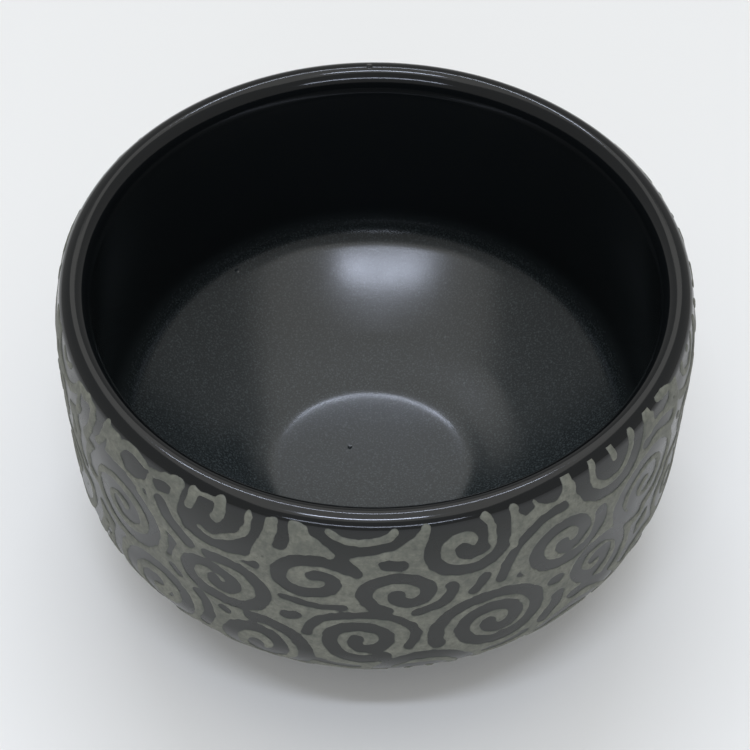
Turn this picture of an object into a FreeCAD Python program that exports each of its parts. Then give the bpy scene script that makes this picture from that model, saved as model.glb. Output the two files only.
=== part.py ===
import FreeCAD, Part
import math
import os
import Sketcher

# A tea bowl of thrown stoneware, in millimetres. It stands on its foot ring at z = 0, with +Z up
# and the axis of the throw through the origin. One clay form carries every coat: a coat's outer
# face is the clay's own section moved outwards by the coat's thickness, so the coats meet the clay
# and each other face to face.

doc = FreeCAD.newDocument("tea_bowl")

SIZES = {
    # clay body, outside
    "belly_radius": 59.9,
    "corner_radius": 16.2,
    "corner_height": 35.4,
    "under_slope": 33.0,
    "shoulder_radius": 52.0,
    # lip
    "lip_radius": 56.35,
    "lip_height": 71.1,
    "lip_round": 2.1,
    # clay body, hollow
    "floor_corner_radius": 9.8,
    "floor_corner_height": 34.8,
    "floor_slope": 35.0,
    "floor_sweep_radius": 128.8,
    "well_radius": 21.8,
    "well_height": 11.4,
    # foot ring
    "foot_height": 6.0,
    "foot_top_outer": 27.5,
    "foot_base_outer": 26.6,
    "foot_top_inner": 21.4,
    "foot_base_inner": 22.0,
    "foot_edge_round": 0.7,
    # coats
    "glaze_thickness": 0.8,
    "slip_thickness": 0.8,
    # heights where the rim's own coat ends, and where the band of spirals begins and ends
    "rim_coat_height": 71.1,
    "slip_band_top": 70.9,
    "slip_band_bottom": 16.0,
}

sheet = doc.addObject("Spreadsheet::Sheet", "Sizes")
for row, (alias, value) in enumerate(SIZES.items(), start=1):
    sheet.set(f"A{row}", alias)
    sheet.set(f"B{row}", str(value))
    sheet.setAlias(f"B{row}", alias)
doc.recompute()

# How far each face lies outside the clay: a number to draw with, and the same as an expression.
CLAY = (0.0, "0")
GLAZE = (SIZES["glaze_thickness"], "Sizes.glaze_thickness")
SLIP = (
    SIZES["glaze_thickness"] + SIZES["slip_thickness"],
    "(Sizes.glaze_thickness + Sizes.slip_thickness)",
)

# A sketch's own lines and points: the table, the axis of the throw, where they meet, and the
# ends and centre of an edge.
TABLE = -1
AXIS = -2
START, END, CENTRE = 1, 2, 3
ORIGIN = (TABLE, START)


def new_sketch(body, name):
    """An empty half section in the body's XZ plane: x is the radius, y is the height."""
    sketch = body.newObject("Sketcher::SketchObject", name)
    plane = next(p for p in body.Origin.OriginFeatures if p.Role == "XZ_Plane")
    sketch.AttachmentSupport = (plane, [""])
    sketch.MapMode = "FlatFace"
    return sketch


def line(sketch, start, end):
    """Add a straight line between two (radius, height) points."""
    a = FreeCAD.Vector(start[0], start[1], 0)
    b = FreeCAD.Vector(end[0], end[1], 0)
    return sketch.addGeometry(Part.LineSegment(a, b), False)


def arc(sketch, centre, radius, first, last):
    """Add an arc, anticlockwise from one angle in degrees to another."""
    middle = FreeCAD.Vector(centre[0], centre[1], 0)
    circle = Part.Circle(middle, FreeCAD.Vector(0, 0, 1), radius)
    return sketch.addGeometry(Part.ArcOfCircle(circle, math.radians(first), math.radians(last)), False)


def on_circle(centre, radius, angle):
    """The point of a circle at an angle in degrees."""
    a = math.radians(angle)
    return centre[0] + radius * math.cos(a), centre[1] + radius * math.sin(a)


def bind(sketch, name, expression, *constraint):
    """Add a dimension to a sketch and tie it to the sheet."""
    index = sketch.addConstraint(Sketcher.Constraint(*constraint))
    sketch.renameConstraint(index, name)
    sketch.setExpression(f"Constraints.{name}", expression)


def join(sketch, kind, first, first_end, second, second_end):
    """Join two edges at their ends: Coincident for a corner, Tangent for a smooth joint."""
    sketch.addConstraint(Sketcher.Constraint(kind, first, first_end, second, second_end))


def place_centre(sketch, edge, name, radius_at, height_at, radius_expression, height_expression):
    """Dimension an arc's centre from the axis and from the resting plane."""
    bind(sketch, f"{name}_out", radius_expression, "DistanceX", *ORIGIN, edge, CENTRE, radius_at)
    bind(sketch, f"{name}_up", height_expression, "DistanceY", *ORIGIN, edge, CENTRE, height_at)


def revolve(body, sketch):
    """Spin a half section right round the axis of the throw."""
    turned = body.newObject("PartDesign::Revolution", f"{sketch.Name}_turned")
    turned.Profile = sketch
    turned.ReferenceAxis = (sketch, ["V_Axis"])
    turned.Angle = 360
    body.Tip = turned
    return turned


def outer_form(name, coat):
    """The full outside of the bowl above the foot, a plug with no hollow, for one coat."""
    extra, extra_expression = coat
    body = doc.addObject("PartDesign::Body", name)
    sketch = new_sketch(body, f"{name}_section")
    slope = SIZES["under_slope"]
    foot = SIZES["foot_height"]
    corner = (SIZES["belly_radius"] - SIZES["corner_radius"], SIZES["corner_height"])
    corner_r = SIZES["corner_radius"] + extra
    lip = (SIZES["lip_radius"], SIZES["lip_height"])
    lip_r = SIZES["lip_round"] + extra
    shoulder_r = SIZES["shoulder_radius"] + extra
    shoulder_x = SIZES["belly_radius"] - SIZES["shoulder_radius"]
    lean = math.degrees(math.acos((lip[0] - shoulder_x) / (shoulder_r - lip_r)))
    shoulder = (shoulder_x, lip[1] - (shoulder_r - lip_r) * math.sin(math.radians(lean)))
    toe = on_circle(corner, corner_r, slope - 90)
    heel = (toe[0] - (toe[1] - foot) / math.tan(math.radians(slope)), foot)
    crest = on_circle(lip, lip_r, 90)

    base = line(sketch, (0, foot), heel)
    under = line(sketch, heel, toe)
    turn = arc(sketch, corner, corner_r, slope - 90, 0)
    wall = line(sketch, on_circle(corner, corner_r, 0), on_circle(shoulder, shoulder_r, 0))
    bend = arc(sketch, shoulder, shoulder_r, 0, lean)
    roll = arc(sketch, lip, lip_r, lean, 90)
    top = line(sketch, crest, (0, crest[1]))
    spine = line(sketch, (0, crest[1]), (0, foot))

    join(sketch, "Coincident", base, END, under, START)
    join(sketch, "Tangent", under, END, turn, START)
    join(sketch, "Tangent", turn, END, wall, START)
    join(sketch, "Tangent", wall, END, bend, START)
    join(sketch, "Tangent", bend, END, roll, START)
    join(sketch, "Tangent", roll, END, top, START)
    join(sketch, "Coincident", top, END, spine, START)
    join(sketch, "Coincident", spine, END, base, START)
    sketch.addConstraint(Sketcher.Constraint("Horizontal", base))
    sketch.addConstraint(Sketcher.Constraint("Horizontal", top))
    sketch.addConstraint(Sketcher.Constraint("Vertical", wall))
    sketch.addConstraint(Sketcher.Constraint("PointOnObject", spine, START, AXIS))
    sketch.addConstraint(Sketcher.Constraint("PointOnObject", spine, END, AXIS))
    bind(sketch, "foot_line", "Sizes.foot_height", "DistanceY", *ORIGIN, base, END, foot)
    bind(sketch, "slope", "Sizes.under_slope * 1 deg", "Angle", under, math.radians(slope))
    place_centre(sketch, turn, "corner", corner[0], corner[1],
                 "Sizes.belly_radius - Sizes.corner_radius", "Sizes.corner_height")
    bind(sketch, "corner_size", f"Sizes.corner_radius + {extra_expression}", "Radius", turn, corner_r)
    bind(sketch, "shoulder_size", f"Sizes.shoulder_radius + {extra_expression}", "Radius", bend,
         shoulder_r)
    place_centre(sketch, roll, "lip", lip[0], lip[1], "Sizes.lip_radius", "Sizes.lip_height")
    bind(sketch, "lip_size", f"Sizes.lip_round + {extra_expression}", "Radius", roll, lip_r)
    revolve(body, sketch)
    return body


def hollow_form(name, coat):
    """The space inside the bowl for one coat: a steep wall, a swept floor and a flat well."""
    extra, extra_expression = coat
    body = doc.addObject("PartDesign::Body", name)
    sketch = new_sketch(body, f"{name}_section")
    slope = SIZES["floor_slope"]
    lip = (SIZES["lip_radius"], SIZES["lip_height"])
    lip_r = SIZES["lip_round"] + extra
    corner_r = SIZES["floor_corner_radius"] - extra
    corner = (lip[0] - lip_r - corner_r, SIZES["floor_corner_height"])
    sweep_r = SIZES["floor_sweep_radius"] - extra
    sweep = on_circle(corner, sweep_r - corner_r, slope + 90)
    well_r = SIZES["well_radius"] - extra
    well = SIZES["well_height"] + extra
    brink = math.degrees(math.acos((well_r - sweep[0]) / sweep_r))
    step = on_circle(sweep, sweep_r, -brink)
    crest = on_circle(lip, lip_r, 90)

    bed = line(sketch, (0, well), (well_r, well))
    edge = line(sketch, (well_r, well), step)
    floor = arc(sketch, sweep, sweep_r, -brink, slope - 90)
    turn = arc(sketch, corner, corner_r, slope - 90, 0)
    wall = line(sketch, on_circle(corner, corner_r, 0), on_circle(lip, lip_r, 180))
    roll = arc(sketch, lip, lip_r, 90, 180)
    top = line(sketch, crest, (0, crest[1]))
    spine = line(sketch, (0, crest[1]), (0, well))

    join(sketch, "Coincident", bed, END, edge, START)
    join(sketch, "Coincident", edge, END, floor, START)
    join(sketch, "Tangent", floor, END, turn, START)
    join(sketch, "Tangent", turn, END, wall, START)
    join(sketch, "Tangent", wall, END, roll, END)
    join(sketch, "Tangent", roll, START, top, START)
    join(sketch, "Coincident", top, END, spine, START)
    join(sketch, "Coincident", spine, END, bed, START)
    sketch.addConstraint(Sketcher.Constraint("Horizontal", bed))
    sketch.addConstraint(Sketcher.Constraint("Vertical", edge))
    sketch.addConstraint(Sketcher.Constraint("Vertical", wall))
    sketch.addConstraint(Sketcher.Constraint("Horizontal", top))
    sketch.addConstraint(Sketcher.Constraint("PointOnObject", spine, START, AXIS))
    sketch.addConstraint(Sketcher.Constraint("PointOnObject", spine, END, AXIS))
    bind(sketch, "well_line", f"Sizes.well_height + {extra_expression}", "DistanceY", *ORIGIN, bed,
         END, well)
    bind(sketch, "well_size", f"Sizes.well_radius - {extra_expression}", "DistanceX", *ORIGIN, bed,
         END, well_r)
    bind(sketch, "sweep_size", f"Sizes.floor_sweep_radius - {extra_expression}", "Radius", floor,
         sweep_r)
    bind(sketch, "corner_size", f"Sizes.floor_corner_radius - {extra_expression}", "Radius", turn,
         corner_r)
    bind(sketch, "corner_up", "Sizes.floor_corner_height", "DistanceY", *ORIGIN, turn, CENTRE,
         corner[1])
    bind(sketch, "sweep_out",
         "(Sizes.floor_sweep_radius - Sizes.floor_corner_radius) * sin(Sizes.floor_slope * 1 deg)",
         "DistanceX", floor, CENTRE, turn, CENTRE, corner[0] - sweep[0])
    place_centre(sketch, roll, "lip", lip[0], lip[1], "Sizes.lip_radius", "Sizes.lip_height")
    bind(sketch, "lip_size", f"Sizes.lip_round + {extra_expression}", "Radius", roll, lip_r)
    revolve(body, sketch)
    return body


def boolean(kind, name, base, tool):
    """One shape cut from another, or the space that the two share."""
    result = doc.addObject(f"Part::{kind}", name)
    result.Base = base
    result.Tool = tool
    return result


def band(name, low_alias, high_alias):
    """A disc wider than the bowl between two heights of the sheet."""
    shape = doc.addObject("Part::Cylinder", name)
    shape.setExpression("Radius", "Sizes.belly_radius * 2")
    shape.setExpression("Height", f"Sizes.{high_alias} - Sizes.{low_alias}")
    shape.setExpression("Placement.Base.z", f"Sizes.{low_alias}")
    return shape


# Clay body: the thrown wall and floor, with the hollow taken out.
clay_hollow = hollow_form("clay_hollow", CLAY)
clay_body = boolean("Cut", "clay_body", outer_form("clay_plug", CLAY), clay_hollow)

# Every coat of glaze at once, as it comes out of the kiln, before it is told apart by place.
glaze_plug = outer_form("glaze_plug", GLAZE)
glazed_bowl = boolean("Cut", "glazed_bowl", glaze_plug, hollow_form("glaze_hollow", GLAZE))
all_glaze = boolean("Cut", "all_glaze", glazed_bowl, clay_body)

# The rim's coat lies over the lip and ends at one height inside and outside.
below_rim = band("below_rim", "foot_height", "rim_coat_height")
lip_glaze = boolean("Cut", "lip_glaze", all_glaze, below_rim)

# Below it, what lies in the clay's hollow lines the bowl, and the rest clothes the outside.
glaze_below_rim = boolean("Common", "glaze_below_rim", all_glaze, below_rim)
inside_glaze = boolean("Common", "inside_glaze", glaze_below_rim, clay_hollow)
outside_glaze = boolean("Cut", "outside_glaze", glaze_below_rim, clay_hollow)

# The trailed slip stands on the outside coat, from under the lip to the underside's slope.
slip_plug = outer_form("slip_plug", SLIP)
slip_coat = boolean("Cut", "slip_coat", slip_plug, glaze_plug)
slip_band = band("slip_band", "slip_band_bottom", "slip_band_top")
spiral_slip = boolean("Common", "spiral_slip", slip_coat, slip_band)


def foot_ring():
    """The ring luted under the floor: straight sides that draw in a little towards the table."""
    body = doc.addObject("PartDesign::Body", "foot_ring")
    sketch = new_sketch(body, "foot_ring_section")
    top = SIZES["foot_height"]
    corners = [
        ("foot_base_inner", 0.0),
        ("foot_base_outer", 0.0),
        ("foot_top_outer", top),
        ("foot_top_inner", top),
    ]
    points = [(SIZES[alias], height) for alias, height in corners]
    edges = [line(sketch, points[i], points[(i + 1) % 4]) for i in range(4)]
    for i, edge in enumerate(edges):
        join(sketch, "Coincident", edge, END, edges[(i + 1) % 4], START)
    for edge in (edges[0], edges[2]):
        sketch.addConstraint(Sketcher.Constraint("Horizontal", edge))
    sketch.addConstraint(Sketcher.Constraint("PointOnObject", edges[0], START, TABLE))
    for edge, (alias, height) in zip(edges, corners):
        bind(sketch, f"{alias}_out", f"Sizes.{alias}", "DistanceX", *ORIGIN, edge, START, SIZES[alias])
    bind(sketch, "top_line", "Sizes.foot_height", "DistanceY", *ORIGIN, edges[2], START, top)
    turned = revolve(body, sketch)
    doc.recompute()
    resting = [
        f"Edge{i}"
        for i, edge in enumerate(turned.Shape.Edges, start=1)
        if edge.Closed and edge.BoundBox.ZMax < top / 2
    ]
    rounded = body.newObject("PartDesign::Fillet", "foot_ring_rounded")
    rounded.Base = (turned, resting)
    rounded.setExpression("Radius", "Sizes.foot_edge_round")
    body.Tip = rounded
    return body


NODES = {
    "clay_body": clay_body,
    "foot_ring": foot_ring(),
    "inside_glaze": inside_glaze,
    "lip_glaze": lip_glaze,
    "outside_glaze": outside_glaze,
    "spiral_slip": spiral_slip,
}

for name, piece in NODES.items():
    piece.Label = name
doc.recompute()

for item in doc.Objects:
    if "Invalid" in item.State or "Error" in item.State:
        raise RuntimeError(f"{item.Label} did not rebuild: {item.State}")

os.makedirs("parts", exist_ok=True)
for name, piece in NODES.items():
    shape = piece.Shape
    if shape.isNull() or not shape.isValid() or not shape.Solids:
        raise RuntimeError(f"{name} is not a sound solid")
    shape.exportStep(f"parts/{name}.step")
    box = shape.optimalBoundingBox(False, False)
    print(f"{name}: {len(shape.Solids)} solid, {shape.Volume / 1000:.1f} cm3, "
          f"radius {box.XMax:.2f}, z {box.ZMin:.2f} to {box.ZMax:.2f}")
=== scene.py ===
"""The looks of a matcha bowl: satin black glaze inside and out, a net of grey slip around it that
leaves black spirals showing, and a bare turned foot."""

import math
import random

import bpy
import numpy as np
from bpy.props import FloatProperty, FloatVectorProperty, IntProperty, PointerProperty
from mathutils import Matrix, Vector


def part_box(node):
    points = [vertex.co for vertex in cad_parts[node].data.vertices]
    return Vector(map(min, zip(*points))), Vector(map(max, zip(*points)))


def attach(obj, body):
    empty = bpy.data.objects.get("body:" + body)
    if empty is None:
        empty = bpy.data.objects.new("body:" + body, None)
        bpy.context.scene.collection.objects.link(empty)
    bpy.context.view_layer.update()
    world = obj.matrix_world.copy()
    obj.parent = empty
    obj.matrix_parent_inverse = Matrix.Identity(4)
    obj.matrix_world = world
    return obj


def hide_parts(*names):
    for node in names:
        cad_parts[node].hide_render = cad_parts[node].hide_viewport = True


bl_info = {
    "name": "Matcha Bowl",
    "version": (1, 0, 0),
    "blender": (4, 5, 0),
    "location": "View3D > Sidebar > Bowl",
    "description": "Makes a black glazed tea bowl with spirals left open in grey slip",
    "category": "Add Mesh",
}

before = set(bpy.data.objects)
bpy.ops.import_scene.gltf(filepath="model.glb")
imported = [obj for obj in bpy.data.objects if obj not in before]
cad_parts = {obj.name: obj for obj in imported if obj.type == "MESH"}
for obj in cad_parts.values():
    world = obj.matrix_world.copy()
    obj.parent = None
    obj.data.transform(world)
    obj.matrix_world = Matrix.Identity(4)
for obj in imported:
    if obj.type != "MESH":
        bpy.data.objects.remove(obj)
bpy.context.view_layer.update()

MM = 0.001
BODY = "root"
LIP_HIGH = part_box("lip_glaze")[1]
WALL_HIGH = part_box("outside_glaze")[1]
FOOT_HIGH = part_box("foot_ring")[1]

# Points closer than this are the same point.
WELD = 0.002 * MM

# The lip's coat laps this far over the coats below it, which reach this far up behind it.
LIP_LAP_INSIDE, LIP_LAP_OUTSIDE = 1.6 * MM, 2.2 * MM
TUCK_INSIDE, TUCK_OUTSIDE = 1.6 * MM, 2.4 * MM
LIP_PROUD, LIP_DEPTH = 0.02 * MM, 0.5 * MM

# Where the outside glaze stops short of the foot, and the radius of its rounded edge.
GLAZE_STOP, GLAZE_BEAD = 0.9 * MM, 0.36 * MM

# How the hand-thrown bowl runs out of true: size, number of humps around and turn of each wave.
# The mouth's waves are shares of the radius and the lip's are in millimetres.
MOUTH_WAVES = [(0.0022, 2, -0.6), (0.0016, 3, 0.9)]
MOUTH_SHRINK = 0.0008
LIP_WAVES = [(0.12, 3, 2.0), (0.06, 5, 0.0)]
LIP_DIP = 0.18
WELL_SHIFT = (-1.0, -1.4, 0)
WELL_SHIFT_ALL, WELL_SHIFT_NONE = 24 * MM, 33 * MM

# Small faults in the glaze: middle and radius of each mark.
FLOOR_PINHOLES = [((-5.3 * MM, 4.7 * MM, 12.3 * MM), 0.6 * MM),
                  ((-30.6 * MM, 41.0 * MM, 28.2 * MM), 0.75 * MM)]
LIP_PIMPLES = [((-1.5 * MM, 56.3 * MM, 73.9 * MM), 0.8 * MM)]


def srgb(code):
    """Turns a hex colour such as #8a8b84 into the linear colour that nodes and properties take."""
    shares = [int(code[place:place + 2], 16) / 255 for place in (1, 3, 5)]
    linear = [c / 12.92 if c <= 0.04045 else ((c + 0.055) / 1.055) ** 2.4 for c in shares]
    return (*linear, 1.0)


# ---- Sizes and colours ----

def length(name, description, default):
    """A size in metres that a user can change."""
    return FloatProperty(name=name, description=description, default=default, unit="LENGTH")


def colour(name, description, code):
    """A colour that a user can change."""
    return FloatVectorProperty(name=name, description=description, default=srgb(code), size=4,
                               subtype="COLOR")


class BowlSizes(bpy.types.PropertyGroup):
    """Sizes of the glazed bowl, as the glaze surface runs."""

    belly_radius: length("Belly radius", "From the axis to the glaze at the widest part", WALL_HIGH.x)
    belly_foot: length("Belly foot", "Height where the upright wall starts to turn under", 35.4 * MM)
    under_curve: length("Under curve", "Radius of the turn from the wall to the underside", 17 * MM)
    under_slope: FloatProperty(
        name="Under slope", description="Rise of the underside away from the foot",
        default=math.radians(33), subtype="ANGLE")
    shoulder_curve: length("Shoulder curve", "Radius of the lean towards the mouth", 52.8 * MM)
    lip_radius: length("Lip radius", "From the axis to the middle of the rolled lip", 56.35 * MM)
    lip_roll: length("Lip roll", "Radius of the rolled lip with its glaze", 2.9 * MM)
    lip_fall: length("Lip fall", "Height over which the lip eases into the inner wall", 5.2 * MM)
    lip_top: length("Lip top", "Height of the bowl", LIP_HIGH.z)
    floor_corner: length("Floor corner", "Radius between the inner wall and the floor", 9 * MM)
    floor_corner_height: length(
        "Floor corner height", "Height where the inner wall starts to turn in", 34.8 * MM)
    floor_slope: FloatProperty(
        name="Floor slope", description="Fall of the floor where it leaves the corner",
        default=math.radians(35), subtype="ANGLE")
    floor_sweep: length("Floor sweep", "Radius of the swept floor, seen from the side", 112 * MM)
    well_radius: length("Well radius", "Radius of the round well in the middle of the floor", 20.6 * MM)
    well_height: length("Well height", "Height of the glaze in the middle of the well", 11.95 * MM)
    well_dish: length("Well dish", "Rise of the well from its middle to its brink", 0.92 * MM)
    well_brink: length(
        "Well brink", "Height over which the floor's fall eases into the well", 0.25 * MM)
    coat: length("Coat", "Thickness of the glaze", 0.75 * MM)
    foot_height: length("Foot height", "Height of the bare foot", FOOT_HIGH.z)
    steps: IntProperty(
        name="Steps", description="Faces around one turn of a thrown surface", default=288)


class SlipSizes(bpy.types.PropertyGroup):
    """Sizes of the net of slip."""

    cell: length("Cell", "Size of the mesh cells the net is cut from", 0.435 * MM)
    stroke: length("Wax stroke", "Half the width of a black spiral's stroke", 1.45 * MM)
    build: length("Build", "How far the slip stands proud of the glaze", 0.24 * MM)
    edge: length("Edge", "Distance over which the slip's edge rounds down", 0.30 * MM)
    depth: length("Depth", "Thickness of the slip, partly sunk in the glaze", 0.5 * MM)
    lip_band: length("Lip band", "Width of the bare black band under the lip", 2.7 * MM)
    lower_edge: length("Lower edge", "Where the slip ends, measured down over the outside", 64.5 * MM)
    start: length("Start", "Distance from the crest of the lip to the top of the pattern", 0.6 * MM)
    gap: length("Gap", "Width of slip kept between neighbouring black shapes", 2.1 * MM)
    seed: IntProperty(
        name="Seed", description="Which run of spirals the back of the bowl gets", default=11)


class BowlColours(bpy.types.PropertyGroup):
    """Colours of the glaze, slip and clay."""

    glaze: colour("Glaze", "Black iron glaze on the outside", "#0f120e")
    glaze_deep: colour("Deep glaze", "Black glaze on the lip and the inner wall", "#0e1011")
    # The floor's grey is painted sheen, where the floor faces the overhead light, and its crystals are
    # painted lighter as painted glints.
    glaze_bloom: colour("Floor sheen", "Grey painted sheen over the floor, where it faces the overhead light", "#1f2425")
    glaze_light: colour("Crystal glints", "Fine grey crystals over the floor, painted lighter as glints", "#454c4d")
    slip: colour("Slip", "Grey slip", "#747468")
    slip_dark: colour("Thin slip", "Slip where the black shows through", "#42453e")
    clay: colour("Clay", "Bare fired stoneware", "#8a7561")
    clay_dark: colour("Scorched clay", "Clay browned by the fire", "#5a4636")
    floor: colour("Floor", "Pale studio floor", "#e8e7e3")


def sizes():
    return bpy.context.scene.bowl_sizes


def slip_sizes():
    return bpy.context.scene.slip_sizes


def colours():
    return bpy.context.scene.bowl_colours


# ---- Materials ----

def add(tree, kind, sockets=None, links=None, **settings):
    """Adds a node with its settings, its unlinked values and what feeds it, which is a socket, or a
    node whose first working output is meant."""
    node = tree.nodes.new("ShaderNode" + kind)
    for name, value in settings.items():
        setattr(node, name, value)
    for name, value in (sockets or {}).items():
        node.inputs[name].default_value = value
    for name, source in (links or {}).items():
        if isinstance(source, bpy.types.Node):
            source = next(output for output in source.outputs if output.enabled)
        tree.links.new(source, node.inputs[name])
    return node


def new_material(name):
    """An empty material, its node tree and the place on the object that its patterns follow."""
    material = bpy.data.materials.new(name)
    material.use_nodes = True
    tree = material.node_tree
    tree.nodes.clear()
    return material, tree, add(tree, "TexCoord").outputs["Object"]


def per_mm(size):
    """The scale that gives a procedural pattern cells of this many millimetres."""
    return 1 / (size * MM)


def span(low, high, to_low=0.0, to_high=1.0):
    """The values that stretch one range over another."""
    return {"From Min": low, "From Max": high, "To Min": to_low, "To Max": to_high}


def marks(tree, place, spots):
    """How far into a small round mark a place lies, 0 outside and 1 at its middle, for marks given
    as (middle, radius)."""
    deepest = None
    for middle, radius in spots:
        away = add(tree, "VectorMath", {1: middle}, {0: place}, operation="DISTANCE")
        into = add(tree, "MapRange", span(0.0, radius, 1.0, 0.0), {"Value": away},
                   interpolation_type="SMOOTHSTEP")
        deepest = into if deepest is None else add(tree, "Math", {}, {0: deepest, 1: into},
                                                   operation="MAXIMUM")
    return deepest


def satin_black_glaze():
    """Black iron glaze, dipped and fired to a satin skin: black with a trace of green down the
    outside, deeper, bluer and glossier over the lip where the coat has run thin, and a pimple of
    glaze on the lip."""
    material, tree, place = new_material("satin_black_glaze")
    crest, top = sizes().lip_radius, sizes().lip_top
    height = add(tree, "SeparateXYZ", {}, {"Vector": place}).outputs["Z"]
    flat = add(tree, "VectorMath", {1: (1, 1, 0)}, {0: place}, operation="MULTIPLY")
    radius = add(tree, "VectorMath", {}, {0: flat}, operation="LENGTH")
    # The lip is the part that lies high up, or inside the crest.
    outer_fall = add(tree, "MapRange", span(crest + 0.2 * MM, crest + 2.4 * MM, 0.0, 7 * MM),
                     {"Value": radius}, interpolation_type="SMOOTHSTEP")
    depth = add(tree, "Math", {}, {0: height, 1: outer_fall}, operation="SUBTRACT")
    lip = add(tree, "MapRange", span(top - 12 * MM, top - 8 * MM), {"Value": depth},
              interpolation_type="SMOOTHSTEP")
    tone = add(tree, "Mix", {"A": colours().glaze, "B": colours().glaze_deep}, {"Factor": lip},
               data_type="RGBA")
    cloud = add(tree, "TexNoise", {"Scale": per_mm(9), "Detail": 3.0}, {"Vector": place})
    patchy = add(tree, "MapRange", span(0.3, 0.7, 0.24, 0.34), {"Value": cloud})
    rough = add(tree, "Mix", {"B": 0.1}, {"Factor": lip, "A": patchy})
    skin = add(tree, "TexNoise", {"Scale": per_mm(2.6), "Detail": 1.0}, {"Vector": place})
    dimple = add(tree, "Bump", {"Strength": 0.14, "Distance": 0.05 * MM}, {"Height": skin})
    pimple = add(tree, "Bump", {"Strength": 1.0, "Distance": 0.35 * MM},
                 {"Height": marks(tree, place, LIP_PIMPLES), "Normal": dimple})
    shader = add(tree, "BsdfPrincipled", {"IOR": 1.45, "Metallic": 0.0},
                 {"Base Color": tone, "Roughness": rough, "Normal": pimple})
    add(tree, "OutputMaterial", {}, {"Surface": shader})
    return material


def inside_black_glaze():
    """The same glaze inside the bowl: glossy black down the wall, and over the floor a soft grey full of
    fine crystals, with two pinholes. The grey is painted sheen where the floor faces the overhead light,
    the crystals are painted lighter as painted glints, and the pinholes are painted near black as
    painted shade."""
    material, tree, place = new_material("inside_black_glaze")
    height = add(tree, "SeparateXYZ", {}, {"Vector": place}).outputs["Z"]
    on_floor = add(tree, "MapRange", span(25 * MM, 37 * MM, 1.0, 0.0), {"Value": height},
                 interpolation_type="SMOOTHSTEP")
    # Crystals of about 0.2 mm, drawn at 0.38 mm so that they show.
    grain = add(tree, "TexNoise", {"Scale": per_mm(0.38), "Detail": 2.0, "Roughness": 0.6},
                {"Vector": place})
    crystals = add(tree, "MapRange", span(0.50, 0.80), {"Value": grain})
    cloud = add(tree, "TexNoise", {"Scale": per_mm(11), "Detail": 3.0}, {"Vector": place})
    # Painted sheen: the floor, which faces the overhead light, is painted a grey far lighter than the
    # black wall, with light specks as painted glints on its grain.
    scorch_and_sheen = add(tree, "Mix", {"A": colours().glaze_bloom, "B": colours().glaze_light},
                {"Factor": crystals}, data_type="RGBA")
    tone = add(tree, "Mix", {"A": colours().glaze_deep}, {"Factor": on_floor, "B": scorch_and_sheen},
               data_type="RGBA")
    # The two pinholes are painted near black: painted shade in the pits.
    pit = marks(tree, place, FLOOR_PINHOLES)
    pit_shaded = add(tree, "Mix", {"B": srgb("#050505")}, {"Factor": pit, "A": tone},
                 data_type="RGBA")
    patchy = add(tree, "MapRange", span(0.3, 0.7, 0.18, 0.22), {"Value": cloud})
    rough = add(tree, "Mix", {"A": 0.16}, {"Factor": on_floor, "B": patchy})
    skin = add(tree, "TexNoise", {"Scale": per_mm(2.6), "Detail": 1.0}, {"Vector": place})
    dimple = add(tree, "Bump", {"Strength": 0.12, "Distance": 0.05 * MM}, {"Height": skin})
    gritty = add(tree, "Math", {1: 0.3}, {0: on_floor}, operation="MULTIPLY")
    relief = add(tree, "Bump", {"Distance": 0.03 * MM},
                 {"Strength": gritty, "Height": grain, "Normal": dimple})
    sunk = add(tree, "Bump", {"Strength": 1.0, "Distance": 0.3 * MM},
               {"Height": pit, "Normal": relief}, invert=True)
    shader = add(tree, "BsdfPrincipled", {"IOR": 1.5, "Metallic": 0.0},
                 {"Base Color": pit_shaded, "Roughness": rough, "Normal": sunk})
    add(tree, "OutputMaterial", {}, {"Surface": shader})
    return material


def matt_grey_slip():
    """Grey clay slip trailed over the glaze and fired dry: a flat warm grey with cloudy patches,
    darker where it thins at its edges, and a chalky grain."""
    material, tree, place = new_material("matt_grey_slip")
    cover = add(tree, "Attribute", attribute_name="cover").outputs["Fac"]
    thin = add(tree, "MapRange", span(-0.05, 0.2), {"Value": cover},
               interpolation_type="SMOOTHSTEP")
    cloud = add(tree, "TexNoise", {"Scale": per_mm(5), "Detail": 4.0, "Roughness": 0.6},
                {"Vector": place})
    patch = add(tree, "MapRange", span(0.3, 0.7, 0.35, 1.0), {"Value": cloud})
    body = add(tree, "Math", {}, {0: thin, 1: patch}, operation="MULTIPLY")
    brushed = add(tree, "TexNoise", {"Scale": per_mm(1.1), "Detail": 3.0, "Roughness": 0.7},
                  {"Vector": place})
    mottle = add(tree, "MapRange", span(0.32, 0.68, 0.45, 1.25), {"Value": brushed})
    depth = add(tree, "Math", {}, {0: body, 1: mottle}, operation="MULTIPLY", use_clamp=True)
    tone = add(tree, "Mix", {"A": colours().slip_dark, "B": colours().slip}, {"Factor": depth},
               data_type="RGBA")
    grain = add(tree, "TexNoise", {"Scale": per_mm(0.5), "Detail": 3.0}, {"Vector": place})
    relief = add(tree, "Bump", {"Strength": 0.35, "Distance": 0.06 * MM}, {"Height": grain})
    rough = add(tree, "MapRange", span(0.0, 1.0, 0.5, 0.72), {"Value": cloud})
    shader = add(tree, "BsdfPrincipled", {"IOR": 1.48, "Metallic": 0.0},
                 {"Base Color": tone, "Roughness": rough, "Normal": relief})
    add(tree, "OutputMaterial", {}, {"Surface": shader})
    return material


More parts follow.
